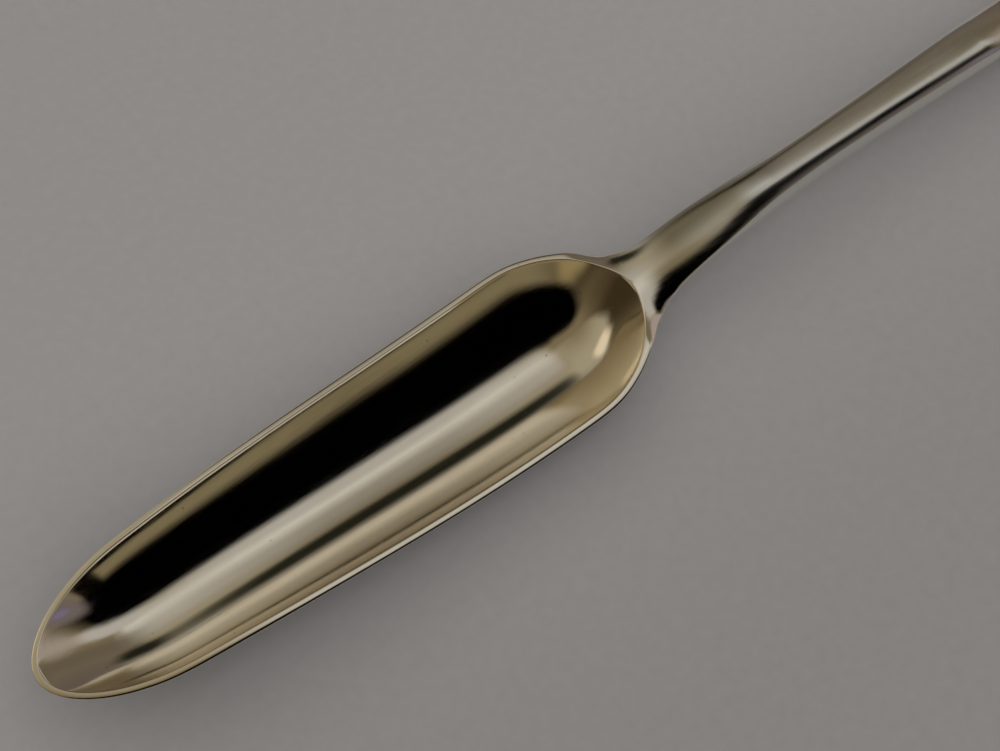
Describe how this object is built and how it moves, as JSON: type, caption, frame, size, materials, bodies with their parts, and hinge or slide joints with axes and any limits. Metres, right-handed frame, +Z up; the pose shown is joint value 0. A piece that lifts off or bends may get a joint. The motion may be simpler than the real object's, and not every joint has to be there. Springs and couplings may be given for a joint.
{
  "type": "marrow scoop",
  "caption": "Double-ended silver marrow scoop: a wide trough bowl and a narrow channel scoop soldered to a slim stem, for drawing marrow out of bones.",
  "frame": {"origin": "on the surface that the scoop lies on, below the middle of its length and width", "axes": "+X from the wide bowl's tip to the narrow scoop's tip, +Z up out of the hollows, Y across"},
  "size_m": [0.222, 0.0228, 0.0118],
  "materials": {
    "polished_silver": "hand-polished sterling silver with a warm tone and fine wear scratches",
    "worn_silver": "sterling silver worn to a soft satin by handling",
    "silver_solder": "hard silver solder, filed flush and polished with the stem"
  },
  "bodies": {
    "root": {"wide_bowl": "polished_silver", "wide_solder_seam": "silver_solder", "stem": "worn_silver", "narrow_solder_seam": "silver_solder", "narrow_scoop": "polished_silver"}
  },
  "joints": []
}
